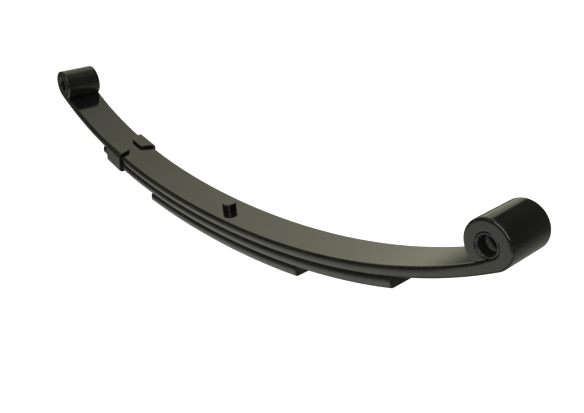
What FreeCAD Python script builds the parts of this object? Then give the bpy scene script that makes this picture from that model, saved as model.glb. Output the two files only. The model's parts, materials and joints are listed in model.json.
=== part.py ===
import FreeCAD, Part
import math
import os

from FreeCAD import Vector

# Three-leaf trailer leaf spring with a rolled, bushed eye at each end of the main leaf.
# Millimetres. +X runs along the spring towards the rear eye, +Y across its width, +Z up.
# Origin: on the centre bolt's axis, where it leaves the main leaf's upper face.

# ---------------------------------------------------------------- driving dimensions
WIDTH = 44.45            # leaf width, 1-3/4 in bar
LEAF_T = 9.5             # leaf thickness
EDGE_R = 3.0             # rounded edges of the bar
LEAF_GAP = 0.10          # paint-thick gap between neighbouring leaves

K0 = 0.00095883          # curvature of the main leaf's upper face at the bolt, 1/mm
K2 = 0.00129822          # added curvature at 300 mm from the bolt, 1/mm
S_FRONT = 354.58         # length along the leaf, bolt to front eye's tangent point
S_REAR = 339.41          # length along the leaf, bolt to rear eye's tangent point
ARCS_PER_HALF = 5        # tangent arcs that make one half of the main leaf

EYE_RI = 9.20            # inner radius of the rolled eye
EYE_INNER_EDGE_R = 1.0   # rounding of the eye's inner edges
CURL_OPEN_DEG = 28.0     # part of the turn left open under the curl's tip
CURL_GAP = 0.35          # gap between the scarfed tip and the leaf it rests on

SECOND_HALF = 241.3      # half length of the second leaf, 9-1/2 in
THIRD_HALF = 127.0       # half length of the third leaf, 5 in
END_BEVEL = 0.8          # bevel on the cut ends of the short leaves

HOLE_R = 5.05            # centre hole through all three leaves
BOLT_R = 4.7625          # 3/8 in centre bolt
HEAD_R = 7.15            # round head that locates the axle seat
HEAD_H = 7.4
HEAD_ROUND = 0.7
SEAT_GAP = 0.06          # seating gap under head and over nut
NUT_AF = 14.29           # 9/16 in across flats
NUT_H = 8.3
BOLT_STUB = 3.2          # shank that shows past the nut

BUSH_FIT = 0.05          # radial gap of a bush in its eye
BUSH_BORE_R = 7.25       # bush bore, for a 9/16 in hanger bolt
BUSH_LEN = 44.05
BUSH_ROUND = 0.7

CLIP_S = -210.4          # place of the rebound clip along the leaf
CLIP_W = 31.75           # strap width
CLIP_T = 2.8             # strap thickness
CLIP_SIDE_GAP = 0.35
CLIP_TOP_GAP = 0.55
CLIP_BOTTOM_GAP = 0.40
CLIP_IN_R = 1.6          # inside bend radius
EAR_END_Y = 7.0          # half of the opening between the two ears
EAR_TIP_W = 23.0         # width of an ear at its free end
EAR_CORNER_R = 4.0
RIVET_R = 3.2
RIVET_HOLE_R = 3.45
RIVET_HEAD_R = 5.4
RIVET_HEAD_H = 2.2

NX, PX = -1, 1
Y_AXIS = Vector(0, 1, 0)


# ---------------------------------------------------------------- path of the main leaf
def heading(s):
    """Angle of the main leaf's upper face at distance s from the bolt."""
    return K0 * s + K2 * s ** 3 / (3.0 * 300.0 ** 2)


def half_arcs(length):
    """Tangent arcs of one half, as (start s, end s, radius, start angle, start x, start z)."""
    arcs = []
    x, z = 0.0, 0.0
    for i in range(ARCS_PER_HALF):
        a = length * i / ARCS_PER_HALF
        b = length * (i + 1) / ARCS_PER_HALF
        ta, tb = heading(a), heading(b)
        r = (b - a) / (tb - ta)
        arcs.append((a, b, r, ta, x, z))
        x += r * (math.sin(tb) - math.sin(ta))
        z += r * (math.cos(ta) - math.cos(tb))
    return arcs


def at(arcs, s):
    """x, z and angle of the upper face at distance s along one half."""
    for a, b, r, t, x, z in arcs:
        if s <= b + 1e-9:
            break
    th = t + (s - a) / r
    return x + r * (math.sin(th) - math.sin(t)), z + r * (math.cos(t) - math.cos(th)), th


REAR = half_arcs(S_REAR)
FRONT = half_arcs(S_FRONT)


# ---------------------------------------------------------------- sections
def rounded_face(centre, down, r_in, r_out, edge_in, edge_out):
    """Rounded-edge bar section from radius r_in to r_out below a bend centre.
    down is the unit vector, in the XZ plane, from the centre to the section."""
    w = WIDTH / 2.0

    def p(r, y):
        return centre + down * r + Vector(0, y, 0)

    def corner(a, b, r, y, sr, sy, e):
        c = math.sqrt(0.5)
        mid = p(r + sr * e * (1 - c), y + sy * e * (1 - c))
        return Part.Arc(a, mid, b).toShape()

    edges = []
    i1, i2 = p(r_in, -w + edge_in), p(r_in, w - edge_in)
    edges.append(Part.makeLine(i1, i2))
    i3 = p(r_in + edge_in, w)
    edges.append(corner(i2, i3, r_in, w, 1, -1, edge_in))
    o1 = p(r_out - edge_out, w)
    edges.append(Part.makeLine(i3, o1))
    o2 = p(r_out, w - edge_out)
    edges.append(corner(o1, o2, r_out, w, -1, -1, edge_out))
    o3 = p(r_out, -w + edge_out)
    edges.append(Part.makeLine(o2, o3))
    o4 = p(r_out - edge_out, -w)
    edges.append(corner(o3, o4, r_out, -w, -1, 1, edge_out))
    i4 = p(r_in + edge_in, -w)
    edges.append(Part.makeLine(o4, i4))
    edges.append(corner(i4, i1, r_in, -w, 1, 1, edge_in))
    return Part.Face(Part.Wire(edges))


def strip(arcs, side, top, thickness, end):
    """One half of a leaf: bar whose upper face lies top mm under the main leaf's upper face."""
    pieces = []
    for a, b, r, t, x, z in arcs:
        if a >= end - 1e-6:
            break
        b = min(b, end)
        centre = Vector(side * (x - r * math.sin(t)), 0, z + r * math.cos(t))
        down = Vector(side * math.sin(t), 0, -math.cos(t))
        face = rounded_face(centre, down, r + top, r + top + thickness, EDGE_R, EDGE_R)
        turn = math.degrees((b - a) / r)
        pieces.append(face.revolve(centre, Vector(0, -side, 0), turn))
    return pieces


def fuse(pieces):
    solid = pieces[0].fuse(pieces[1:])
    solid = solid.removeSplitter()
    if solid.ShapeType != "Solid":
        solid = solid.Solids[0]
    return solid


def eye(arcs, side, length):
    """Rolled eye: the bar turned upwards round the bush and scarfed against the leaf."""
    x, z, t = at(arcs, length)
    tangent_pt = Vector(side * x, 0, z)
    normal = Vector(-side * math.sin(t), 0, math.cos(t))
    centre = tangent_pt + normal * EYE_RI
    face = rounded_face(centre, normal * -1, EYE_RI, EYE_RI + LEAF_T, EYE_INNER_EDGE_R, EDGE_R)
    ring = face.revolve(centre, Vector(0, -side, 0), 360.0 - CURL_OPEN_DEG)
    # scarf: clear the space of the leaf's own end and a thin gap above it
    a, b, r, ta, xa, za = arcs[-1]
    bend = Vector(side * (xa - r * math.sin(ta)), 0, za + r * math.cos(ta))
    w = WIDTH
    down = Vector(side * math.sin(t), 0, -math.cos(t))
    corners = [bend + down * (r - CURL_GAP) + Vector(0, -w, 0),
               bend + down * (r - CURL_GAP) + Vector(0, w, 0),
               bend + down * (r + 3 * LEAF_T) + Vector(0, w, 0),
               bend + down * (r + 3 * LEAF_T) + Vector(0, -w, 0)]
    cut_face = Part.Face(Part.makePolygon(corners + corners[:1]))
    cutter = cut_face.revolve(bend, Vector(0, side, 0), math.degrees(60.0 / r))
    return ring.cut(cutter), centre


def bolt_hole(radius, top, bottom):
    return Part.makeCylinder(radius, top - bottom, Vector(0, 0, bottom), Vector(0, 0, 1))


# ---------------------------------------------------------------- leaves
front_ring, FRONT_EYE = eye(FRONT, NX, S_FRONT)
rear_ring, REAR_EYE = eye(REAR, PX, S_REAR)
main_leaf = fuse(strip(FRONT, NX, 0.0, LEAF_T, S_FRONT) + strip(REAR, PX, 0.0, LEAF_T, S_REAR)
                 + [front_ring, rear_ring])
main_leaf = main_leaf.cut(bolt_hole(HOLE_R, 20, -20))


def short_leaf(index, half):
    """Second or third leaf, square cut, nested under the one above."""
    top = index * (LEAF_T + LEAF_GAP)
    body = fuse(strip(FRONT, NX, top, LEAF_T, half) + strip(REAR, PX, top, LEAF_T, half))
    # small bevel round the cut ends
    ends = []
    for edge in body.Edges:
        for side, arcs in ((NX, FRONT), (PX, REAR)):
            x, z, t = at(arcs, half)
            n = Vector(side * math.cos(t), 0, math.sin(t))
            o = Vector(side * x, 0, z)
            pts = [edge.valueAt(edge.FirstParameter + f * (edge.LastParameter - edge.FirstParameter))
                   for f in (0.0, 0.5, 1.0)]
            if all(abs((q - o).dot(n)) < 1e-4 for q in pts):
                ends.append(edge)
    body = body.makeChamfer(END_BEVEL, ends)
    return body.cut(bolt_hole(HOLE_R, 20, -60))


second_leaf = short_leaf(1, SECOND_HALF)
third_leaf = short_leaf(2, THIRD_HALF)
STACK = 3 * LEAF_T + 2 * LEAF_GAP

# ---------------------------------------------------------------- centre bolt and nut
shank_len = STACK + NUT_H + BOLT_STUB + SEAT_GAP
shank = Part.makeCylinder(BOLT_R, shank_len + SEAT_GAP, Vector(0, 0, -shank_len), Vector(0, 0, 1))
head = Part.makeCylinder(HEAD_R, HEAD_H, Vector(0, 0, SEAT_GAP), Vector(0, 0, 1))
top_edge = [e for e in head.Edges if abs(e.BoundBox.ZMin - (SEAT_GAP + HEAD_H)) < 1e-6 and e.Length > 10]
head = head.makeFillet(HEAD_ROUND, top_edge)
centre_bolt = head.fuse(shank)
tip = [e for e in centre_bolt.Edges if abs(e.BoundBox.ZMax + shank_len) < 1e-6 and e.Length > 10]
centre_bolt = centre_bolt.makeChamfer(0.9, tip)

nut_top = -STACK - SEAT_GAP
hexagon = []
for i in range(7):
    a = math.radians(60 * i)
    r = NUT_AF / 2.0 / math.cos(math.radians(30))
    hexagon.append(Vector(r * math.cos(a), r * math.sin(a), nut_top - NUT_H))
nut = Part.Face(Part.makePolygon(hexagon)).extrude(Vector(0, 0, NUT_H))
cone_r = NUT_AF / 2.0 / math.cos(math.radians(30))
dome = Part.makeCone(NUT_AF / 2.0 * 0.97, cone_r + 2.0, 2.0 / math.tan(math.radians(60)) + 1.0,
                     Vector(0, 0, nut_top - NUT_H), Vector(0, 0, 1))
dome_h = 2.0 / math.tan(math.radians(60)) + 1.0
dome = dome.fuse(Part.makeCylinder(cone_r + 2.0, NUT_H - dome_h, Vector(0, 0, nut_top - NUT_H + dome_h), Vector(0, 0, 1)))
nut = nut.common(dome)
centre_nut = nut.cut(Part.makeCylinder(BOLT_R + 0.03, 3 * NUT_H, Vector(0, 0, nut_top - 2 * NUT_H), Vector(0, 0, 1)))


# ---------------------------------------------------------------- bushes
def bush(centre):
    base = centre + Vector(0, -BUSH_LEN / 2.0, 0)
    body = Part.makeCylinder(EYE_RI - BUSH_FIT, BUSH_LEN, base, Y_AXIS)
    body = body.cut(Part.makeCylinder(BUSH_BORE_R, BUSH_LEN, base, Y_AXIS))
    rims = [e for e in body.Edges if e.BoundBox.YLength < 1e-6 and e.Length > 10]
    return body.makeFillet(BUSH_ROUND, rims)


front_eye_bush = bush(FRONT_EYE)
rear_eye_bush = bush(REAR_EYE)

# ---------------------------------------------------------------- rebound clip and its rivet
# Built round the origin with X along the leaf, then moved to its place on the spring.
half_in = WIDTH / 2.0 + CLIP_SIDE_GAP
half_out = half_in + CLIP_T
z_top_in = CLIP_TOP_GAP
z_bot_in = -(2 * LEAF_T + LEAF_GAP) - CLIP_BOTTOM_GAP
r_in, r_out = CLIP_IN_R, CLIP_IN_R + CLIP_T


def yz(y, z):
    return Vector(0, y, z)


def bend(cy, cz, r, a0, a1):
    am = math.radians((a0 + a1) / 2.0)
    a0, a1 = math.radians(a0), math.radians(a1)
    pts = [yz(cy + r * math.cos(a), cz + r * math.sin(a)) for a in (a0, am, a1)]
    return Part.Arc(*pts).toShape()


c_y, c_zt, c_zb = half_in - r_in, z_top_in - r_in, z_bot_in + r_in
outline = [
    Part.makeLine(yz(EAR_END_Y, z_top_in), yz(EAR_END_Y, z_top_in + CLIP_T)),
    Part.makeLine(yz(EAR_END_Y, z_top_in + CLIP_T), yz(c_y, z_top_in + CLIP_T)),
    bend(c_y, c_zt, r_out, 90, 0),
    Part.makeLine(yz(half_out, c_zt), yz(half_out, c_zb)),
    bend(c_y, c_zb, r_out, 0, -90),
    Part.makeLine(yz(c_y, z_bot_in - CLIP_T), yz(-c_y, z_bot_in - CLIP_T)),
    bend(-c_y, c_zb, r_out, -90, -180),
    Part.makeLine(yz(-half_out, c_zb), yz(-half_out, c_zt)),
    bend(-c_y, c_zt, r_out, 180, 90),
    Part.makeLine(yz(-c_y, z_top_in + CLIP_T), yz(-EAR_END_Y, z_top_in + CLIP_T)),
    Part.makeLine(yz(-EAR_END_Y, z_top_in + CLIP_T), yz(-EAR_END_Y, z_top_in)),
    Part.makeLine(yz(-EAR_END_Y, z_top_in), yz(-c_y, z_top_in)),
    bend(-c_y, c_zt, r_in, 90, 180),
    Part.makeLine(yz(-half_in, c_zt), yz(-half_in, c_zb)),
    bend(-c_y, c_zb, r_in, -180, -90),
    Part.makeLine(yz(-c_y, z_bot_in), yz(c_y, z_bot_in)),
    bend(c_y, c_zb, r_in, -90, 0),
    Part.makeLine(yz(half_in, c_zb), yz(half_in, c_zt)),
    bend(c_y, c_zt, r_in, 0, 90),
    Part.makeLine(yz(c_y, z_top_in), yz(EAR_END_Y, z_top_in)),
]
band = Part.Face(Part.Wire(outline)).extrude(Vector(CLIP_W, 0, 0))
band.translate(Vector(-CLIP_W / 2.0, 0, 0))


def ear_plan(side):
    """Outline, seen from above, that an ear is trimmed to: tapered, with rounded tip corners."""
    y_root, y_tip = side * (half_in - 3.0), side * EAR_END_Y
    wr, wt = CLIP_W / 2.0, EAR_TIP_W / 2.0
    pts = [Vector(-wr - 5, side * 60, 0), Vector(-wr - 5, y_root, 0), Vector(-wr, y_root, 0),
           Vector(-wt, y_tip, 0), Vector(wt, y_tip, 0), Vector(wr, y_root, 0),
           Vector(wr + 5, y_root, 0), Vector(wr + 5, side * 60, 0)]
    face = Part.Face(Part.makePolygon(pts + pts[:1]))
    body = face.extrude(Vector(0, 0, 10))
    body.translate(Vector(0, 0, -2.5))
    corners = [e for e in body.Edges if e.BoundBox.ZLength > 9 and abs(e.BoundBox.YMin - y_tip) < 1e-6
               and abs(e.BoundBox.YMax - y_tip) < 1e-6]
    return body.makeFillet(EAR_CORNER_R, corners)


lower = Part.makeBox(80, 80, 60, Vector(-40, -40, -60 - 2.5))
mask = ear_plan(1).fuse(ear_plan(-1)).fuse(lower)
clip = band.common(mask)
clip = clip.Solids[0] if clip.Solids else clip
rivet_z = z_bot_in
clip = clip.cut(Part.makeCylinder(RIVET_HOLE_R, 20, Vector(0, 0, rivet_z - 10), Vector(0, 0, 1)))

# The rivet holds the strap to the second leaf: a domed head under the strap, a shank through both,
# and an upset end sunk into the second leaf's upper face.
rivet_top = -(LEAF_T + LEAF_GAP) - 0.45
rivet_bottom = z_bot_in - CLIP_T - 0.05
rivet = Part.makeCylinder(RIVET_R, rivet_top - rivet_bottom + 0.4, Vector(0, 0, rivet_bottom - 0.4), Vector(0, 0, 1))
dome_r = (RIVET_HEAD_R ** 2 + RIVET_HEAD_H ** 2) / (2 * RIVET_HEAD_H)
ball = Part.makeSphere(dome_r, Vector(0, 0, rivet_bottom - RIVET_HEAD_H + dome_r))
slab = Part.makeBox(30, 30, 10, Vector(-15, -15, rivet_bottom - 10))
rivet_head = ball.common(slab)
upset = Part.makeCone(RIVET_R, RIVET_R + 1.6, 1.6, Vector(0, 0, rivet_top - 1.6), Vector(0, 0, 1))
clip_rivet = rivet.fuse([rivet_head, upset])

cx, cz, ct = at(FRONT, -CLIP_S)
place = FreeCAD.Placement(Vector(-cx, 0, cz), FreeCAD.Rotation(Vector(0, 1, 0), math.degrees(ct)))
for body in (clip, clip_rivet):
    body.Placement = place.multiply(body.Placement)
rebound_clip = clip

# countersunk hole in the second leaf for the rivet
sink = Part.makeCylinder(RIVET_HOLE_R, 40, Vector(0, 0, -40), Vector(0, 0, 1))
sink = sink.fuse(Part.makeCone(RIVET_HOLE_R, RIVET_HOLE_R + 2.1, 2.1, Vector(0, 0, rivet_top - 1.7), Vector(0, 0, 1)))
sink.Placement = place.multiply(sink.Placement)
second_leaf = second_leaf.cut(sink)


# ---------------------------------------------------------------- output
NODES = {
    "main_leaf": main_leaf,
    "second_leaf": second_leaf,
    "third_leaf": third_leaf,
    "centre_bolt": centre_bolt,
    "centre_nut": centre_nut,
    "front_eye_bush": front_eye_bush,
    "rear_eye_bush": rear_eye_bush,
    "rebound_clip": rebound_clip,
    "clip_rivet": clip_rivet,
}

os.makedirs("parts", exist_ok=True)
for name, shape in NODES.items():
    shape = shape.Solids[0] if len(shape.Solids) == 1 else shape
    box = shape.BoundBox
    print(name, shape.ShapeType, "solids", len(shape.Solids), "valid", shape.isValid(),
          "volume %.1f" % shape.Volume,
          "box %.2f %.2f %.2f to %.2f %.2f %.2f" % (box.XMin, box.YMin, box.ZMin, box.XMax, box.YMax, box.ZMax))
    shape.exportStep("parts/%s.step" % name)
print("front eye centre", FRONT_EYE, "rear eye centre", REAR_EYE, "apart", (REAR_EYE - FRONT_EYE).Length)
print("clip at", -cx, cz, math.degrees(ct))
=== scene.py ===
import json
import math

import bpy
import numpy as np
from mathutils import Matrix, Vector


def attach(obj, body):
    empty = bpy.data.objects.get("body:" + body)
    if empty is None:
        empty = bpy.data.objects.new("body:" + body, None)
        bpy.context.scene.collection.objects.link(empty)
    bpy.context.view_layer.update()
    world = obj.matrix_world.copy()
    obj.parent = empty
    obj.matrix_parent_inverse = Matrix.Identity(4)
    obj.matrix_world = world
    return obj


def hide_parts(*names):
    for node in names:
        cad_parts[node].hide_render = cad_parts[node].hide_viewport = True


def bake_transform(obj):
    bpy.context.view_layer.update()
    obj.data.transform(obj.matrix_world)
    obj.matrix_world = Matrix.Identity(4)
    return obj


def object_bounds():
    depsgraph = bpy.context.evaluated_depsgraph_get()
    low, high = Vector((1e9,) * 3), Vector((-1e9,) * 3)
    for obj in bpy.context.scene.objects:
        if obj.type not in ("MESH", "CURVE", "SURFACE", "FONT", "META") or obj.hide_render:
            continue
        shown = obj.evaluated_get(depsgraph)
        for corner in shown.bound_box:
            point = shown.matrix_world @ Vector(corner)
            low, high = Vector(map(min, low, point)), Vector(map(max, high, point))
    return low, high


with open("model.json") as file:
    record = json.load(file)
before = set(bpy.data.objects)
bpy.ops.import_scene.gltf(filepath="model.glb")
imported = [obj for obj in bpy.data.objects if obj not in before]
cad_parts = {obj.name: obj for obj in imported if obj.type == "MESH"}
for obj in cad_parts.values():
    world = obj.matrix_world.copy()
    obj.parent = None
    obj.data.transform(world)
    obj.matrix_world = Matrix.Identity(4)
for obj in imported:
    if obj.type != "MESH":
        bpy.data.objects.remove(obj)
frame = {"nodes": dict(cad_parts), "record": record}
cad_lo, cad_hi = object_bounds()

MM = 0.001
scene = bpy.context.scene
record = frame["record"]
RNG = np.random.default_rng(7)

# ------------------------------------------------------------------ sizes, as in the CAD model (mm)
WIDTH, T, EDGE_R, GAP = 44.45, 9.5, 2.25, 0.10
K0, K2 = 0.00095883, 0.00129822
S_FRONT, S_REAR, N_ARCS = 354.58, 339.41, 5
EYE_RI, EYE_INNER_R, CURL_OPEN, CURL_GAP = 9.20, 1.0, 28.0, 0.35
SECOND_HALF, THIRD_HALF = 241.3, 127.0
HEAD_R, HEAD_H, SEAT = 7.15, 7.4, 0.06
BOLT_R, NUT_AF, NUT_H, STUB = 4.7625, 14.29, 8.3, 3.2
BUSH_R, BUSH_BORE, BUSH_LEN = 9.15, 7.25, 44.05
CLIP_S, CLIP_W, CLIP_T = 210.4, 31.75, 2.8
CLIP_SIDE, CLIP_TOP, CLIP_BOT, CLIP_IN_R = 0.35, 0.55, 0.40, 1.6
EAR_END_Y, EAR_TIP_W, EAR_CORNER = 7.0, 23.0, 4.0
STACK = 3 * T + 2 * GAP
CROWN = 11.0


# ------------------------------------------------------------------ the leaf's line
def heading(s):
    return K0 * s + K2 * s ** 3 / (3.0 * 300.0 ** 2)


def half_arcs(length):
    arcs, x, z = [], 0.0, 0.0
    for i in range(N_ARCS):
        a, b = length * i / N_ARCS, length * (i + 1) / N_ARCS
        ta, tb = heading(a), heading(b)
        r = (b - a) / (tb - ta)
        arcs.append((a, b, r, ta, x, z))
        x += r * (math.sin(tb) - math.sin(ta))
        z += r * (math.cos(ta) - math.cos(tb))
    return arcs


def at(arcs, s):
    for a, b, r, t, x, z in arcs:
        if s <= b + 1e-9:
            break
    th = t + (s - a) / r
    return x + r * (math.sin(th) - math.sin(t)), z + r * (math.cos(t) - math.cos(th)), th


REAR, FRONT = half_arcs(S_REAR), half_arcs(S_FRONT)


def eye_centre(arcs, side, length):
    x, z, t = at(arcs, length)
    return np.array([side * (x - EYE_RI * math.sin(t)), z + EYE_RI * math.cos(t)])


FRONT_EYE, REAR_EYE = eye_centre(FRONT, -1, S_FRONT), eye_centre(REAR, 1, S_REAR)


# ------------------------------------------------------------------ mesh helpers
def section(w, t, r_top, r_bot, nseg=8, crown=0.0):
    """Closed rounded-rectangle loop as (across, height) with height 0 at the top and -t at the
    bottom. Also gives how near each point is to a rounded edge, for wear. Always the same count.
    crown is the angle, in degrees, that the bulged sides of a rolled bar make with the upright
    where they meet the rounded edges; it needs both radii equal."""
    h = w / 2.0
    pts, edge = [], []

    def arc(cx, cy, r, a0, a1):
        for i in range(nseg + 1):
            a = math.radians(a0 + (a1 - a0) * i / nseg)
            pts.append((cx + r * math.cos(a), cy + r * math.sin(a)))
            edge.append(math.sin(math.pi * i / nseg))

    def run(p, q, fr):
        for f in fr:
            pts.append((p[0] + (q[0] - p[0]) * f, p[1] + (q[1] - p[1]) * f))
            edge.append(0.0)

    side = (0.08, 0.3, 0.5, 0.7, 0.92)
    if crown > 0.01:
        k = (t / 2 - r_top) / math.sin(math.radians(crown))
        big = k + r_top
        cx = h - big + k * math.cos(math.radians(crown))
    else:
        cx = h - r_top
    lt = min(0.45, 0.1 * w) / max(w - 2 * r_top, 1e-6)
    lb = min(0.45, 0.1 * w) / max(w - 2 * r_bot, 1e-6)
    wide_t = (lt, 0.16, 0.33, 0.5, 0.67, 0.84, 1 - lt)
    wide_b = (lb, 0.16, 0.33, 0.5, 0.67, 0.84, 1 - lb)

    def bulge(sign):
        for f in side:
            g = math.radians(crown * (1 - 2 * f)) * sign
            pts.append((sign * (h - big + big * math.cos(g)), -t / 2 + big * math.sin(g)))
            edge.append(0.0)

    cb = cx if crown > 0.01 else h - r_bot
    # start on the top face, walk towards +across, down, back along the bottom and up
    run((-cx, 0.0), (cx, 0.0), wide_t)
    arc(cx, -r_top, r_top, 90.0, crown)
    bulge(1) if crown > 0.01 else run((h, -r_top), (h, -t + r_bot), side)
    arc(cb, -t + r_bot, r_bot, -crown, -90.0)
    run((cb, -t), (-cb, -t), wide_b)
    arc(-cb, -t + r_bot, r_bot, -90.0, -180.0 + crown)
    bulge(-1) if crown > 0.01 else run((-h, -t + r_bot), (-h, -r_top), side)
    arc(-cx, -r_top, r_top, 180.0 - crown, 90.0)
    return np.array(pts), np.array(edge)


def inset(pts, d):
    """Moves a section loop inwards by d, keeping its point count."""
    nxt, prv = np.roll(pts, -1, 0), np.roll(pts, 1, 0)
    tan = nxt - prv
    tan /= np.linalg.norm(tan, axis=1)[:, None] + 1e-12
    return pts + np.stack([tan[:, 1], -tan[:, 0]], 1) * d


def mesh_object(name, verts, faces, wear=None, sharp=None):
    me = bpy.data.meshes.new(name)
    me.from_pydata([tuple(v) for v in np.asarray(verts) * MM], [], faces)
    me.update()
    me.shade_smooth()
    if sharp is not None:
        me.set_sharp_from_angle(angle=math.radians(sharp))
    ob = bpy.data.objects.new(name, me)
    scene.collection.objects.link(ob)
    n = len(me.vertices)
    rest = me.attributes.new("rest_co", "FLOAT_VECTOR", "POINT")
    co = np.zeros(n * 3, np.float32)
    me.vertices.foreach_get("co", co)
    rest.data.foreach_set("vector", co)
    w = me.attributes.new("edge_wear", "FLOAT", "POINT")
    w.data.foreach_set("value", (np.zeros(n) if wear is None else np.asarray(wear)).astype(np.float32))
    return ob


def tube(name, loops, wear, sharp=None, closed=False):
    """Skin over equal-count closed loops, with flat caps at both ends unless closed."""
    m, n = len(loops), len(loops[0])
    verts = np.concatenate(loops)
    faces = []
    last = m if closed else m - 1
    for i in range(last):
        a, b = i * n, ((i + 1) % m) * n
        for j in range(n):
            k = (j + 1) % n
            faces.append((a + j, a + k, b + k, b + j))
    if not closed:
        faces.append(tuple(range(n - 1, -1, -1)))
        faces.append(tuple((m - 1) * n + j for j in range(n)))
    ob = mesh_object(name, verts, faces, np.concatenate(wear), sharp)
    import bmesh
    bm = bmesh.new()
    bm.from_mesh(ob.data)
    bmesh.ops.recalc_face_normals(bm, faces=bm.faces)
    bm.to_mesh(ob.data)
    bm.free()
    return ob


def lathe(name, profile, centre, axis, steps=96, sharp=None, wear=None):
    """Closed ring or solid of revolution. profile is a list of (radius, along)."""
    axis = Vector(axis).normalized()
    u = axis.orthogonal().normalized()
    v = axis.cross(u)
    loops, wears = [], []
    prof = np.array(profile, float)
    ring_closed = prof[0][0] > 1e-6
    for i in range(steps):
        a = 2 * math.pi * i / steps
        d = u * math.cos(a) + v * math.sin(a)
        loops.append(np.array([np.array(centre) + np.array(d) * r + np.array(axis) * z for r, z in prof]))
    verts, faces = [], []
    if ring_closed:
        n = len(prof)
        verts = np.concatenate(loops)
        for i in range(steps):
            a, b = i * n, ((i + 1) % steps) * n
            for j in range(n):
                k = (j + 1) % n
                faces.append((a + j, b + j, b + k, a + k))
        w = np.tile(wear if wear is not None else np.zeros(n), steps)
    else:
        inner = prof[1:-1]
        n = len(inner)
        verts = [np.array(centre) + np.array(axis) * prof[0][1]]
        for l in loops:
            verts.extend(l[1:-1])
        verts.append(np.array(centre) + np.array(axis) * prof[-1][1])
        end = len(verts) - 1
        for i in range(steps):
            a, b = 1 + i * n, 1 + ((i + 1) % steps) * n
            for j in range(n - 1):
                faces.append((a + j, b + j, b + j + 1, a + j + 1))
            faces.append((0, b, a))
            faces.append((end, a + n - 1, b + n - 1))
        w = np.zeros(len(verts)) if wear is None else np.concatenate([[0], np.tile(wear[1:-1], steps), [0]])
    ob = mesh_object(name, verts, faces, w, sharp)
    import bmesh
    bm = bmesh.new()
    bm.from_mesh(ob.data)
    bmesh.ops.recalc_face_normals(bm, faces=bm.faces)
    bm.to_mesh(ob.data)
    bm.free()
    return ob


def fillet(p, a, b, r, n=6):
    """Points of a fillet of radius r at p between directions to a and b."""
    p, a, b = (np.array(q, float) for q in (p, a, b))
    da, db = (a - p) / np.linalg.norm(a - p), (b - p) / np.linalg.norm(b - p)
    half = math.acos(max(-1, min(1, float(da @ db)))) / 2
    back = r / math.tan(half)
    c = p + (da + db) / np.linalg.norm(da + db) * (r / math.sin(half))
    s, e = p + da * back, p + db * back
    a0, a1 = math.atan2(*(s - c)[::-1]), math.atan2(*(e - c)[::-1])
    d = (a1 - a0 + math.pi) % (2 * math.pi) - math.pi
    return [tuple(c + r * np.array([math.cos(a0 + d * i / n), math.sin(a0 + d * i / n)])) for i in range(n + 1)]


# ------------------------------------------------------------------ leaves
def place(p, tan, nrm, sec):
    """Section loop at point p (x, z), up along nrm (x, z)."""
    out = np.zeros((len(sec), 3))
    out[:, 0] = p[0] + nrm[0] * sec[:, 1]
    out[:, 1] = sec[:, 0]
    out[:, 2] = p[1] + nrm[1] * sec[:, 1]
    return out


def cap_loops(p, tan, nrm, sec, edge, bevel, direction):
    """Loops that round off a cut end: from bevel before p to p, then inwards on the flat."""
    out = []
    steps = 4
    for i in range(steps + 1):
        a = math.pi / 2 * i / steps
        back = bevel * (1 - math.sin(a))
        ins = bevel * (1 - math.cos(a))
        q = p - tan * direction * back
        out.append((place(q, tan, nrm, inset(sec, ins)), np.maximum(edge, math.sin(math.pi * i / steps)) if 0 < i < steps else edge))
    for extra in (0.25, 0.9):
        out.append((place(p, tan, nrm, inset(sec, bevel + extra)), edge * 0))
    return out


def frame_at(s):
    side, arcs = (-1, FRONT) if s < 0 else (1, REAR)
    x, z, th = at(arcs, abs(s))
    p = np.array([side * x, z])
    tan = np.array([math.cos(th), side * math.sin(th)])
    nrm = np.array([-side * math.sin(th), math.cos(th)])
    return p, tan, nrm


def smooth(t):
    t = min(max(t, 0.0), 1.0)
    return t * t * (3 - 2 * t)


def eye_loops(side, arcs, length, centre):
    """Loops round the rolled eye, from the tangent point to the scarfed tip."""
    x, z, t = at(arcs, length)
    down = np.array([side * math.sin(t), -math.cos(t)])
    fwd = np.array([side * math.cos(t), math.sin(t)])
    a, b, r, ta, xa, za = arcs[-1]
    bend = np.array([side * (xa - r * math.sin(ta)), za + r * math.cos(ta)])
    stop = 360.0 - CURL_OPEN
    e = centre - bend

    def limit(al):
        u = down * math.cos(al) + fwd * math.sin(al)
        q = float(u @ e)
        disc = q * q - (float(e @ e) - (r - CURL_GAP) ** 2)
        return -q + math.sqrt(max(disc, 0.0)), u

    angles = list(np.arange(4.0, stop - 0.01, 4.0))
    # find where the scarf begins, and put stations close to it
    lo, hi = 280.0, stop
    for _ in range(40):
        mid = (lo + hi) / 2
        if limit(math.radians(mid))[0] < EYE_RI + T:
            hi = mid
        else:
            lo = mid
    kink = hi
    angles = sorted([q for q in angles if abs(q - kink) > 1.2] + [kink - 1.0, kink - 0.25, kink + 0.25, kink + 1.0, stop])
    out = []
    for q in angles:
        al = math.radians(q)
        lim, u = limit(al)
        ro = EYE_RI + T if q < kink else min(EYE_RI + T, lim)
        th = ro - EYE_RI
        r_in = min(EYE_INNER_R, th * 0.42)
        r_out = min(EDGE_R, th * 0.45) if q < kink else min(EDGE_R * (1 - 0.85 * smooth((q - kink) / 6.0)), th * 0.4)
        sec, edge = section(WIDTH, th, r_in, max(r_out, 0.12))
        out.append((centre + u * EYE_RI, np.array([0.0, 0.0]), -u, sec, edge))
    return out


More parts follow.
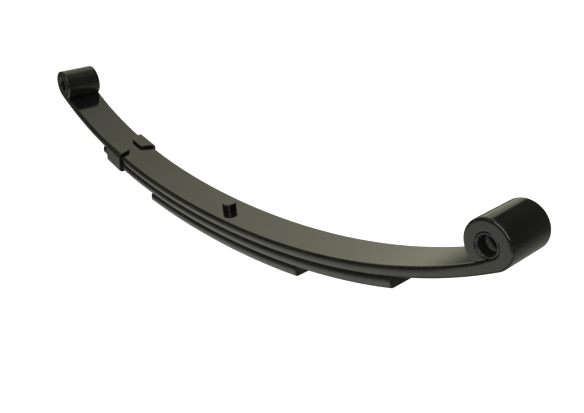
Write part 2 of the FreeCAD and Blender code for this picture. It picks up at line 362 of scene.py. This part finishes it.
def build_main():
    stations = []
    front = eye_loops(-1, FRONT, S_FRONT, FRONT_EYE)
    rear = eye_loops(1, REAR, S_REAR, REAR_EYE)
    loops, wears = [], []

    def add(p, nrm, sec, edge):
        loops.append(place(p, None, nrm, sec))
        wears.append(edge)

    def tip(st, prev):
        p, _, nrm, sec, edge = st
        d = np.array([nrm[1], -nrm[0]])
        if d @ (p - prev[0]) < 0:
            d = -d
        out = []
        for i, (back, ins) in enumerate(((0.22, 0.0), (0.10, 0.06), (0.0, 0.20), (0.0, 0.30))):
            out.append((place(p - d * back, None, nrm, inset(sec, ins)), edge * 0 + (0.6 if i in (1, 2) else 0)))
        return out

    t0 = tip(front[-1], front[-2])
    for l, w in reversed(t0):
        loops.append(l)
        wears.append(w)
    for p, _, nrm, sec, edge in reversed(front[:-1]):
        add(p, nrm, sec, edge)
    body = []
    s = -S_FRONT
    grid = list(np.arange(-S_FRONT, S_REAR, 2.4)) + [S_REAR]
    for s in grid:
        p, tan, nrm = frame_at(s)
        d_eye = min(s + S_FRONT, S_REAR - s)
        r_top = EYE_INNER_R + (EDGE_R - EYE_INNER_R) * smooth(d_eye / 14.0)
        sec, edge = section(WIDTH, T, r_top, EDGE_R, crown=CROWN * smooth((d_eye - 14.0) / 40.0))
        add(p, nrm, sec, edge)
    for p, _, nrm, sec, edge in rear[:-1]:
        add(p, nrm, sec, edge)
    for l, w in tip(rear[-1], rear[-2]):
        loops.append(l)
        wears.append(w)
    return tube("main_leaf_visual", loops, wears)


def build_short(name, index, half, seed):
    top = index * (T + GAP)
    sec, edge = section(WIDTH, T, EDGE_R, EDGE_R, crown=CROWN)
    loops, wears = [], []
    p, tan, nrm = frame_at(-half)
    for l, w in reversed(cap_loops(p - nrm * top, tan, nrm, sec, edge, 0.8, -1)):
        loops.append(l)
        wears.append(w)
    for s in np.arange(-half + 2.4, half - 2.0, 2.4):
        p, tan, nrm = frame_at(s)
        loops.append(place(p - nrm * top, tan, nrm, sec))
        wears.append(edge)
    p, tan, nrm = frame_at(half)
    for l, w in cap_loops(p - nrm * top, tan, nrm, sec, edge, 0.8, 1):
        loops.append(l)
        wears.append(w)
    ob = tube(name, loops, wears)
    # the sheared ends keep a coarser face than the rolled bar
    n = len(ob.data.vertices)
    cut = np.zeros(n, np.float32)
    per = len(sec)
    cut[:per * 5] = 1.0
    cut[n - per * 5:] = 1.0
    at_ = ob.data.attributes.new("cut", "FLOAT", "POINT")
    at_.data.foreach_set("value", cut)
    return ob


# ------------------------------------------------------------------ rebound clip
def build_clip():
    half_in = WIDTH / 2 + CLIP_SIDE
    z_top, z_bot = CLIP_TOP, -(2 * T + GAP) - CLIP_BOT
    cy, czt, czb = half_in - CLIP_IN_R, z_top - CLIP_IN_R, z_bot + CLIP_IN_R
    # centre path of the inner face: (y, z, normal angle) from the near ear's tip to the far ear's tip
    path = []

    def line(a, b, ang, n):
        for f in np.linspace(0, 1, n):
            path.append((a[0] + (b[0] - a[0]) * f, a[1] + (b[1] - a[1]) * f, ang))

    def turn(c, a0, a1, n):
        for f in np.linspace(0, 1, n + 1)[1:-1]:
            a = a0 + (a1 - a0) * f
            path.append((c[0] + CLIP_IN_R * math.cos(math.radians(a)), c[1] + CLIP_IN_R * math.sin(math.radians(a)), a))

    tips = [0.0, 0.12, 0.3, 0.6, 1.0, 1.5, 2.1, 2.8, 3.4, 4.0]
    ear = cy - EAR_END_Y
    ds = tips + list(np.linspace(5.0, ear, 8))
    for d in ds:
        path.append((-(EAR_END_Y + d), z_top, 90.0))
    turn((-cy, czt), 90, 180, 10)
    line((-half_in, czt), (-half_in, czb), 180.0, 9)
    turn((-cy, czb), 180, 270, 10)
    line((-cy, z_bot), (cy, z_bot), 270.0, 15)
    turn((cy, czb), 270, 360, 10)
    line((half_in, czb), (half_in, czt), 360.0, 9)
    turn((cy, czt), 360, 450, 10)
    for d in reversed(ds):
        path.append((EAR_END_Y + d, z_top, 450.0))
    x, z, th = at(FRONT, CLIP_S)
    ct, st = math.cos(th), math.sin(th)

    def width(y, zz, ang):
        on_ear = abs(math.sin(math.radians(ang)) - 1) < 1e-6 and zz > -1
        if not on_ear:
            return CLIP_W
        d = abs(y) - EAR_END_Y
        f = min(max(d / (half_in - 3.0 - EAR_END_Y), 0), 1)
        w = EAR_TIP_W + (CLIP_W - EAR_TIP_W) * f
        if d < EAR_CORNER:
            k = EAR_CORNER - d
            w -= 2 * (EAR_CORNER - math.sqrt(max(EAR_CORNER ** 2 - k * k, 0)))
        return w

    loops, wears = [], []

    def loop(y, zz, ang, w, ins, shift):
        sec, edge = section(w, CLIP_T, 0.55, 0.55, nseg=5)
        if ins:
            sec = inset(sec, ins)
        n = np.array([math.cos(math.radians(ang)), math.sin(math.radians(ang))])
        tan = np.array([-n[1], n[0]])
        base = np.array([y, zz]) + tan * shift
        # height 0 is the outer face
        yy = base[0] + n[0] * (CLIP_T + sec[:, 1])
        zv = base[1] + n[1] * (CLIP_T + sec[:, 1])
        xx = sec[:, 0]
        # the ears and the strap lie along the bent leaf
        out = np.zeros((len(sec), 3))
        out[:, 0] = -x + xx * ct + zv * st
        out[:, 1] = yy
        out[:, 2] = z - xx * st + zv * ct
        return out, edge

    first, last = path[0], path[-1]
    for ins, sh in ((0.85, 0.0), (0.55, 0.0), (0.28, -0.0)):
        l, e = loop(*first, width(*first), ins, 0.0)
        loops.append(l)
        wears.append(e * 0)
    for i, st_ in enumerate(path):
        d = abs(abs(st_[0]) - EAR_END_Y) if st_[1] > -1 else 9
        round_end = 0.28 * (1 - math.sqrt(max(0.0, 1 - (1 - min(d / 0.5, 1)) ** 2))) if d < 0.5 else 0.0
        l, e = loop(*st_, width(*st_), round_end, 0.0)
        loops.append(l)
        wears.append(e)
    for ins in (0.28, 0.55, 0.85):
        l, e = loop(*last, width(*last), ins, 0.0)
        loops.append(l)
        wears.append(e * 0)
    return tube("rebound_clip_visual", loops, wears)


def local_to_clip(v):
    x, z, th = at(FRONT, CLIP_S)
    v = np.asarray(v, float)
    out = np.zeros_like(v)
    out[:, 0] = -x + v[:, 0] * math.cos(th) + v[:, 2] * math.sin(th)
    out[:, 1] = v[:, 1]
    out[:, 2] = z - v[:, 0] * math.sin(th) + v[:, 2] * math.cos(th)
    return out


def build_rivet():
    """Domed head under the strap, with a faint flat and a rounded rim."""
    z0 = -(2 * T + GAP) - CLIP_BOT - CLIP_T - 0.05
    prof = [(0.0, z0 + 3.0), (3.2, z0 + 3.0), (3.2, z0), (5.1, z0), (5.35, z0 - 0.12), (5.4, z0 - 0.35)]
    for i in range(1, 13):
        a = math.pi / 2 * i / 12
        prof.append((5.4 * math.cos(a), z0 - 0.35 - 1.8 * math.sin(a)))
    prof[-1] = (0.0, z0 - 2.15)
    ob = lathe("clip_rivet_visual", prof, (0, 0, 0), (0, 0, 1), steps=64, sharp=40)
    co = np.array([v.co for v in ob.data.vertices]) / MM
    co = local_to_clip(co) * MM
    ob.data.vertices.foreach_set("co", co.astype(np.float32).ravel())
    ob.data.attributes["rest_co"].data.foreach_set("vector", co.astype(np.float32).ravel())
    ob.data.update()
    return ob


# ------------------------------------------------------------------ centre bolt and nut
def build_bolt():
    z0, z1 = SEAT, SEAT + HEAD_H
    prof = [(0.0, z1)]
    prof += [(HEAD_R * f, z1) for f in (0.3, 0.6, 0.8)]
    prof += [(HEAD_R - 1.0, z1)]
    prof += fillet((HEAD_R, z1), (0, z1), (HEAD_R, 0), 0.75, 8)
    prof += [(HEAD_R, z1 - 1.0), (HEAD_R, (z0 + z1) / 2), (HEAD_R, z0 + 0.5)]
    prof += fillet((HEAD_R, z0), (HEAD_R, z1), (0, z0), 0.3, 4)
    prof += [(HEAD_R - 0.6, z0), (BOLT_R + 0.3, z0)]
    bottom = -(STACK + NUT_H + STUB + SEAT)
    # plain shank down into the nut, then a rolled thread
    prof += [(BOLT_R, z0 - 0.3), (BOLT_R, -STACK - 2.0)]
    steps = 72
    pitch, depth = 25.4 / 24, 0.55
    zs = np.arange(-STACK - 3.0, bottom + 0.02, -pitch / 9)
    fixed = prof
    loops = []
    for i in range(steps):
        a = 2 * math.pi * i / steps
        ring = [(r, z) for r, z in fixed[1:]]
        for z in zs:
            ph = ((z / pitch) + a / (2 * math.pi)) % 1.0
            cut = depth * max(0.0, 1 - abs(ph - 0.5) / 0.42)
            taper = max(0.0, (bottom + 0.9 - z)) * 0.9
            r = BOLT_R - max(cut * smooth((-STACK - 3.0 - z) / 1.0), 0) - 0.02
            r = min(r, BOLT_R - taper) if z < bottom + 0.9 else r
            ring.append((r, z))
        ring.append((BOLT_R - 1.0, bottom))
        ring.append((BOLT_R - 2.2, bottom))
        loops.append([(r * math.cos(a), r * math.sin(a), z) for r, z in ring])
    n = len(loops[0])
    verts = [(0, 0, z1)] + [p for l in loops for p in l] + [(0, 0, bottom)]
    end = len(verts) - 1
    faces = []
    for i in range(steps):
        a, b = 1 + i * n, 1 + ((i + 1) % steps) * n
        for j in range(n - 1):
            faces.append((a + j, a + j + 1, b + j + 1, b + j))
        faces.append((0, a, b))
        faces.append((end, b + n - 1, a + n - 1))
    wear = np.zeros(len(verts))
    for i in range(steps):
        for j in range(4, 13):
            wear[1 + i * n + j] = math.sin(math.pi * (j - 4) / 8)
    return mesh_object("centre_bolt_visual", verts, faces, wear, 50)


def build_nut():
    top = -STACK - SEAT
    bot = top - NUT_H
    apo = NUT_AF / 2
    steps = 144
    angs = 2 * math.pi * np.arange(steps) / steps

    def hexr(a):
        k = (a + math.pi / 6) % (math.pi / 3) - math.pi / 6
        r = apo / math.cos(k)
        return min(r, apo / math.cos(math.pi / 6) - 0.12)

    def lim(d):
        return apo * 0.97 + d / math.tan(math.radians(30)) if d < 2.2 else 99

    zs = [(bot + d, lim(d)) for d in (0.0, 0.1, 0.25, 0.4, 0.55, 0.7, 0.85, 1.0, 1.2)]
    zs += [(bot + f * NUT_H, 99) for f in (0.3, 0.5, 0.7)]
    zs += [(top - d, lim(d)) for d in (1.2, 1.0, 0.85, 0.7, 0.55, 0.4, 0.25, 0.1, 0.0)]
    inner = BOLT_R + 0.03
    prof_in = [(apo * 0.8, top), (inner + 0.7, top), (inner, top - 0.7), (inner, bot + 0.7), (inner + 0.7, bot), (apo * 0.8, bot)]
    loops = []
    for a in angs:
        ring = [(min(hexr(a), l), z) for z, l in zs] + prof_in
        loops.append([(r * math.cos(a), r * math.sin(a), z) for r, z in ring])
    n = len(loops[0])
    verts = [p for l in loops for p in l]
    faces = []
    for i in range(steps):
        a, b = i * n, ((i + 1) % steps) * n
        for j in range(n):
            k = (j + 1) % n
            faces.append((a + j, b + j, b + k, a + k))
    ob = mesh_object("centre_nut_visual", verts, faces, None, 22)
    import bmesh
    bm = bmesh.new()
    bm.from_mesh(ob.data)
    bmesh.ops.recalc_face_normals(bm, faces=bm.faces)
    bm.to_mesh(ob.data)
    bm.free()
    return ob


# ------------------------------------------------------------------ bushes
def build_bush(name, centre):
    """Moulded bush: smooth bore and a rounded lip at each end."""
    h = BUSH_LEN / 2
    prof = []
    prof += fillet((BUSH_BORE, -h), (BUSH_BORE, h), (BUSH_R, -h), 0.85, 8)
    prof += fillet((BUSH_R, -h), (BUSH_BORE, -h), (BUSH_R, h), 0.85, 8)
    prof += [(BUSH_R, -h + 1.6), (BUSH_R, 0.0), (BUSH_R, h - 1.6)]
    prof += fillet((BUSH_R, h), (BUSH_R, -h), (BUSH_BORE, h), 0.85, 8)
    prof += fillet((BUSH_BORE, h), (BUSH_R, h), (BUSH_BORE, -h), 0.85, 8)
    prof += [(BUSH_BORE, v) for v in np.linspace(h - 1.6, -h + 1.6, 40)]
    ob = lathe(name, prof, (centre[0], 0, centre[1]), (0, 1, 0), steps=128)
    # a lighter grey, duller band a little way in from each mouth of the bore: a painted highlight standing in for the
    # streak of reflected light on the bore wall
    co = np.array([v.co for v in ob.data.vertices]) / MM
    rad = np.hypot(co[:, 0] - centre[0], co[:, 2] - centre[1])
    y = np.abs(co[:, 1])
    band = np.clip((y - 7.2) / 1.6, 0, 1) * np.clip((13.6 - y) / 1.6, 0, 1) * (rad < BUSH_BORE + 0.05)
    at_ = ob.data.attributes.new("bore_highlight_band", "FLOAT", "POINT")
    at_.data.foreach_set("value", band.astype(np.float32))
    return ob


# ------------------------------------------------------------------ materials
def node(nt, kind, x=0, y=0, **kw):
    n = nt.nodes.new(kind)
    n.location = (x, y)
    for k, v in kw.items():
        setattr(n, k, v)
    return n


def paint(name, base, rough, seed, bump=0.12, dust=0.0, wear_tint=(0.05, 0.047, 0.042), orange=1.0, coat=0.0, cut=False):
    m = bpy.data.materials.new(name)
    m.use_nodes = True
    nt = m.node_tree
    b = nt.nodes["Principled BSDF"]
    b.inputs["IOR"].default_value = 1.5
    b.inputs["Specular IOR Level"].default_value = 0.5
    b.inputs["Metallic"].default_value = 0.0
    if coat:
        b.inputs["Coat Weight"].default_value = coat
        b.inputs["Coat Roughness"].default_value = 0.04
    at_ = node(nt, "ShaderNodeAttribute", -1500, 0, attribute_name="rest_co")
    edge = node(nt, "ShaderNodeAttribute", -1500, -400, attribute_name="edge_wear")
    mp = node(nt, "ShaderNodeMapping", -1300, 0)
    mp.inputs["Location"].default_value = (seed * 1.37, seed * 0.71, seed * 0.39)
    nt.links.new(at_.outputs["Vector"], mp.inputs["Vector"])

    def noise(scale, detail, rgh, y):
        n = node(nt, "ShaderNodeTexNoise", -1050, y)
        n.inputs["Scale"].default_value = scale
        n.inputs["Detail"].default_value = detail
        n.inputs["Roughness"].default_value = rgh
        nt.links.new(mp.outputs["Vector"], n.inputs["Vector"])
        return n.outputs["Fac"]

    def ramp(src, a, b_, y, lo=0.0, hi=1.0):
        n = node(nt, "ShaderNodeMapRange", -800, y)
        n.inputs["From Min"].default_value = a
        n.inputs["From Max"].default_value = b_
        n.inputs["To Min"].default_value = lo
        n.inputs["To Max"].default_value = hi
        nt.links.new(src, n.inputs["Value"])
        return n.outputs["Result"]

    def math_(op, a, b_, y):
        n = node(nt, "ShaderNodeMath", -560, y, operation=op)
        for i, v in enumerate((a, b_)):
            if isinstance(v, (int, float)):
                n.inputs[i].default_value = v
            else:
                nt.links.new(v, n.inputs[i])
        return n.outputs[0]

    big = noise(28, 3, 0.5, 300)
    fine = noise(420, 5, 0.6, 80)
    grit = noise(1900, 3, 0.6, -140)
    # colour: deep black that shifts a little in tone, thinner on the rounded edges
    tone = node(nt, "ShaderNodeMix", -300, 300, data_type="RGBA")
    nt.links.new(ramp(big, 0.35, 0.65, 300), tone.inputs["Factor"])
    tone.inputs["A"].default_value = (*[c * 0.75 for c in base], 1)
    tone.inputs["B"].default_value = (*[c * 1.3 for c in base], 1)
    worn = math_("MULTIPLY", edge.outputs["Fac"], ramp(fine, 0.5, 0.72, 80), 0)
    worn = math_("MULTIPLY", worn, 0.5, -60)
    thin = node(nt, "ShaderNodeMix", -100, 300, data_type="RGBA")
    nt.links.new(worn, thin.inputs["Factor"])
    nt.links.new(tone.outputs["Result"], thin.inputs["A"])
    thin.inputs["B"].default_value = (*wear_tint, 1)
    nt.links.new(thin.outputs["Result"], b.inputs["Base Color"])
    # roughness
    r1 = ramp(big, 0.3, 0.7, -300, rough * 0.8, rough * 1.25)
    r2 = ramp(grit, 0.55, 0.8, -420, 0.0, 0.05)
    r3 = math_("ADD", r1, r2, -360)
    r4 = math_("MULTIPLY", worn, 0.25, -480)
    nt.links.new(math_("ADD", r3, r4, -540), b.inputs["Roughness"])
    # bump: long waves of the dip coat, fine orange peel
    wave = node(nt, "ShaderNodeBump", -300, -500)
    wave.inputs["Strength"].default_value = bump
    wave.inputs["Distance"].default_value = 0.0004
    nt.links.new(big, wave.inputs["Height"])
    peel = node(nt, "ShaderNodeBump", -100, -500)
    peel.inputs["Strength"].default_value = 0.05 * orange
    peel.inputs["Distance"].default_value = 0.00005
    nt.links.new(fine, peel.inputs["Height"])
    nt.links.new(wave.outputs["Normal"], peel.inputs["Normal"])
    last = peel
    if cut:
        # sheared end faces: torn, lumpy metal under the paint
        ca = node(nt, "ShaderNodeAttribute", -1500, -800, attribute_name="cut")
        lumps = noise(330, 3, 0.6, -900)
        tall = math_("MULTIPLY", ca.outputs["Fac"], lumps, -900)
        torn = node(nt, "ShaderNodeBump", 60, -500)
        torn.inputs["Strength"].default_value = 0.9
        torn.inputs["Distance"].default_value = 0.0011
        nt.links.new(tall, torn.inputs["Height"])
        nt.links.new(peel.outputs["Normal"], torn.inputs["Normal"])
        last = torn
    nt.links.new(last.outputs["Normal"], b.inputs["Normal"])
    return m


LEAF_PAINT = paint("gloss_black_leaf", (0.0075, 0.0075, 0.0068), 0.075, 1.0)
LEAF_PAINT_2 = paint("gloss_black_leaf_2", (0.0078, 0.0078, 0.007), 0.09, 5.0, cut=True)
LEAF_PAINT_3 = paint("gloss_black_leaf_3", (0.0078, 0.0078, 0.007), 0.10, 9.0, cut=True)
CLIP_PAINT = paint("gloss_black_clip", (0.009, 0.009, 0.008), 0.10, 13.0, bump=0.2)
BOLT_PAINT = paint("gloss_black_bolt", (0.007, 0.007, 0.0068), 0.07, 17.0, bump=0.05, orange=0.6)
NUT_PAINT = paint("gloss_black_nut", (0.009, 0.009, 0.0085), 0.16, 21.0, bump=0.05)


def add_bore_highlight_band(m):
    """Adds a bush's painted highlight to its material: a lighter grey, duller band inside the bore."""
    nt = m.node_tree
    b = nt.nodes["Principled BSDF"]
    at_ = node(nt, "ShaderNodeAttribute", 100, 700, attribute_name="bore_highlight_band")
    rest = node(nt, "ShaderNodeAttribute", 100, 900, attribute_name="rest_co")
    n = node(nt, "ShaderNodeTexNoise", 300, 900)
    n.inputs["Scale"].default_value = 260
    n.inputs["Detail"].default_value = 4
    nt.links.new(rest.outputs["Vector"], n.inputs["Vector"])
    k = node(nt, "ShaderNodeMapRange", 480, 900)
    k.inputs["From Min"].default_value, k.inputs["From Max"].default_value = 0.3, 0.65
    k.inputs["To Min"].default_value, k.inputs["To Max"].default_value = 0.45, 1.0
    nt.links.new(n.outputs["Fac"], k.inputs["Value"])
    f = node(nt, "ShaderNodeMath", 650, 800, operation="MULTIPLY")
    nt.links.new(at_.outputs["Fac"], f.inputs[0])
    nt.links.new(k.outputs["Result"], f.inputs[1])
    # the band's light grey base colour is the painted highlight; its higher roughness makes it dull
    for name, value in (("Base Color", (0.17, 0.175, 0.165, 1)), ("Roughness", (0.42, 0.42, 0.42, 1))):
        old = b.inputs[name].links[0].from_socket
        mx = node(nt, "ShaderNodeMix", 850, 700, data_type="RGBA")
        nt.links.new(f.outputs[0], mx.inputs["Factor"])
        nt.links.new(old, mx.inputs["A"])
        mx.inputs["B"].default_value = value
        nt.links.new(mx.outputs["Result"], b.inputs[name])
    return m


BUSH_MAT = paint("moulded_black_nylon", (0.010, 0.0105, 0.011), 0.13, 25.0, bump=0.03, orange=0.5)
add_bore_highlight_band(BUSH_MAT)


def finish_piece(ob, mat, node_name, body=None, bend=False):
    ob.data.materials.clear()
    ob.data.materials.append(mat)
    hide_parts(node_name)
    if bend:
        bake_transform(ob)
    else:
        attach(ob, body)
    # a CAD node hidden by its replacement still gets a node-based material
    cad = frame["nodes"][node_name]
    for i in range(len(cad.material_slots)):
        cad.material_slots[i].material = mat
    return ob


main_leaf = finish_piece(build_main(), LEAF_PAINT, "main_leaf", bend=True)
second = finish_piece(build_short("second_leaf_visual", 1, SECOND_HALF, 2), LEAF_PAINT_2, "second_leaf", bend=True)
third = finish_piece(build_short("third_leaf_visual", 2, THIRD_HALF, 3), LEAF_PAINT_3, "third_leaf", bend=True)
clip = finish_piece(build_clip(), CLIP_PAINT, "rebound_clip", "clip")
rivet = finish_piece(build_rivet(), CLIP_PAINT, "clip_rivet", "clip")
bolt = finish_piece(build_bolt(), BOLT_PAINT, "centre_bolt", "centre")
nut = finish_piece(build_nut(), NUT_PAINT, "centre_nut", "centre")
front_bush = finish_piece(build_bush("front_eye_bush_visual", FRONT_EYE), BUSH_MAT, "front_eye_bush", "root")
rear_bush = finish_piece(build_bush("rear_eye_bush_visual", REAR_EYE), BUSH_MAT, "rear_eye_bush", "rear_end")


# ------------------------------------------------------------------ studio
floor_z = cad_lo.z - 0.002


def disc(name, radius, z, centre=(0, 0)):
    n = 96
    verts = [(centre[0] + radius * math.cos(2 * math.pi * i / n), centre[1] + radius * math.sin(2 * math.pi * i / n), z) for i in range(n)]
    me = bpy.data.meshes.new(name)
    me.from_pydata(verts, [], [tuple(range(n))])
    ob = bpy.data.objects.new(name, me)
    scene.collection.objects.link(ob)
    return ob


def white(name, emit, tint=(1, 1, 1)):
    m = bpy.data.materials.new(name)
    m.use_nodes = True
    b = m.node_tree.nodes["Principled BSDF"]
    b.inputs["Base Color"].default_value = (0.86, 0.86, 0.86, 1)
    b.inputs["Roughness"].default_value = 0.9
    b.inputs["Emission Color"].default_value = (*tint, 1)
    b.inputs["Emission Strength"].default_value = emit
    return m


# The pale floor is what the camera sees; the gloss paint mirrors the room below, whose lower
# half stands for the same floor with its own fall-off of light.
floor = disc("studio_floor", 12.0, floor_z)
floor.data.materials.append(white("pale_floor", 1.0))
floor.visible_glossy = False

world = bpy.data.worlds.new("studio")
scene.world = world
world.use_nodes = True
wn = world.node_tree
wn.nodes.clear()
out = node(wn, "ShaderNodeOutputWorld", 900, 0)
tc = node(wn, "ShaderNodeTexCoord", -1300, 0)
sep = node(wn, "ShaderNodeSeparateXYZ", -1100, 100)
wn.links.new(tc.outputs["Generated"], sep.inputs[0])
DX, DY, DZ = (sep.outputs[i] for i in range(3))


def wramp(src, a, b_, lo=0.0, hi=1.0):
    """Smooth step from lo at a to hi at b_."""
    n = node(wn, "ShaderNodeMapRange", -600, 0, interpolation_type="SMOOTHSTEP")
    if a < b_:
        n.inputs["From Min"].default_value, n.inputs["From Max"].default_value = a, b_
        n.inputs["To Min"].default_value, n.inputs["To Max"].default_value = lo, hi
    else:
        n.inputs["From Min"].default_value, n.inputs["From Max"].default_value = b_, a
        n.inputs["To Min"].default_value, n.inputs["To Max"].default_value = hi, lo
    wn.links.new(src, n.inputs["Value"])
    return n.outputs["Result"]


def wmath(op, *vals):
    n = node(wn, "ShaderNodeMath", -100, 0, operation=op)
    for i, v in enumerate(vals):
        if isinstance(v, (int, float)):
            n.inputs[i].default_value = v
        else:
            wn.links.new(v, n.inputs[i])
    return n.outputs[0]


def mul(*vals):
    r = vals[0]
    for v in vals[1:]:
        r = wmath("MULTIPLY", r, v)
    return r


def add(*vals):
    r = vals[0]
    for v in vals[1:]:
        r = wmath("ADD", r, v)
    return r


# a warm backdrop at the far left, with an upright edge, from just under the horizon upwards
slant = add(DX, mul(DY, 0.9))
backdrop = mul(wramp(slant, 0.19, 0.31, 1.0, 0.0), wramp(DY, 0.12, 0.34), wramp(DZ, -0.13, 0.02), wramp(DZ, 0.72, 0.95, 1.0, 0.75))
# the dim room above and to the right
room = add(0.09, mul(wramp(DZ, 0.55, 0.95), 0.26))
# the floor: bright in front of the object, falling off towards the walls, with painted shadow straight below and behind
# the object, standing for the shade it casts on the floor
front = mul(wramp(DY, -0.05, -0.32), wramp(DZ, -0.19, -0.52), wramp(DZ, -0.62, -0.86, 1.0, 0.22))
behind = mul(wramp(DY, -0.32, -0.05), wramp(DZ, -0.10, -0.62), wramp(DX, -0.30, -0.62, 1.0, 0.15))
under = add(mul(front, 1.0), mul(behind, 0.24))


def wcolour(fac, rgb):
    n = node(wn, "ShaderNodeVectorMath", 200, 0, operation="SCALE")
    n.inputs[0].default_value = rgb
    wn.links.new(fac, n.inputs["Scale"])
    return n.outputs[0]


def wsum(a, b_):
    n = node(wn, "ShaderNodeVectorMath", 350, 0, operation="ADD")
    wn.links.new(a, n.inputs[0])
    wn.links.new(b_, n.inputs[1])
    return n.outputs[0]


glow = wsum(wsum(wcolour(backdrop, (0.70, 0.70, 0.52)), wcolour(room, (0.96, 1.0, 0.80))), wcolour(under, (1.0, 1.02, 0.86)))
bg = node(wn, "ShaderNodeBackground", 500, 100)
wn.links.new(glow, bg.inputs["Color"])
bg_cam = node(wn, "ShaderNodeBackground", 500, -100)
bg_cam.inputs["Color"].default_value = (1, 1, 1, 1)
bg_cam.inputs["Strength"].default_value = 1.0
lp = node(wn, "ShaderNodeLightPath", 500, 350)
mixs = node(wn, "ShaderNodeMixShader", 700, 0)
wn.links.new(lp.outputs["Is Camera Ray"], mixs.inputs[0])
wn.links.new(bg.outputs[0], mixs.inputs[1])
wn.links.new(bg_cam.outputs[0], mixs.inputs[2])
wn.links.new(mixs.outputs[0], out.inputs["Surface"])


def softbox(name, direction, dist, size, power, along=None, target=(0.10, 0, 0.03), tint=(1, 1, 1)):
    """A rectangular soft light looking at the target; its long side lies along the given direction."""
    l = bpy.data.lights.new(name, "AREA")
    l.shape = "RECTANGLE"
    l.size, l.size_y = size
    l.energy = power
    l.color = tint
    ob = bpy.data.objects.new(name, l)
    d = Vector(direction).normalized()
    x = Vector(along) if along else d.orthogonal()
    x = (x - d * x.dot(d)).normalized()
    y = d.cross(x)
    m_ = Matrix((x, y, d)).transposed().to_4x4()
    m_.translation = Vector(target) + d * dist
    ob.matrix_world = m_
    scene.collection.objects.link(ob)
    return ob


# a long strip softbox over the camera's shoulder gives the thin highlights on the eye rims
softbox("strip_soft", (0.34, -0.62, 0.66), 2.4, (3.1, 0.27), 34.0, along=(0.78, -0.08, -0.60))

# ------------------------------------------------------------------ camera
CAM = Vector((0.540307002583247, -0.34616637426522995, 0.27773225971212345))
ROT = ((0.642649843735157, 0.7632652317563287, -0.066538442566205),
       (0.26881486398695265, -0.3059538000898905, -0.9133076377159187),
       (-0.7174536551212591, 0.5690504882719226, -0.4017982012784931))
cam_data = bpy.data.cameras.new("camera")
cam = bpy.data.objects.new("camera", cam_data)
scene.collection.objects.link(cam)
cam_data.sensor_fit = "HORIZONTAL"
cam_data.sensor_width = 36.0
cam_data.lens = 672.32 * 36.0 / 584.0
cam_data.clip_start, cam_data.clip_end = 0.01, 100.0
right, down_, fwd = (Vector(r) for r in ROT)
m = Matrix((right, -down_, -fwd)).transposed().to_4x4()
m.translation = CAM
cam.matrix_world = m
scene.camera = cam

scene.view_settings.view_transform = "Standard"
scene.view_settings.look = "None"
scene.view_settings.exposure = 0.0
scene.view_settings.gamma = 1.0
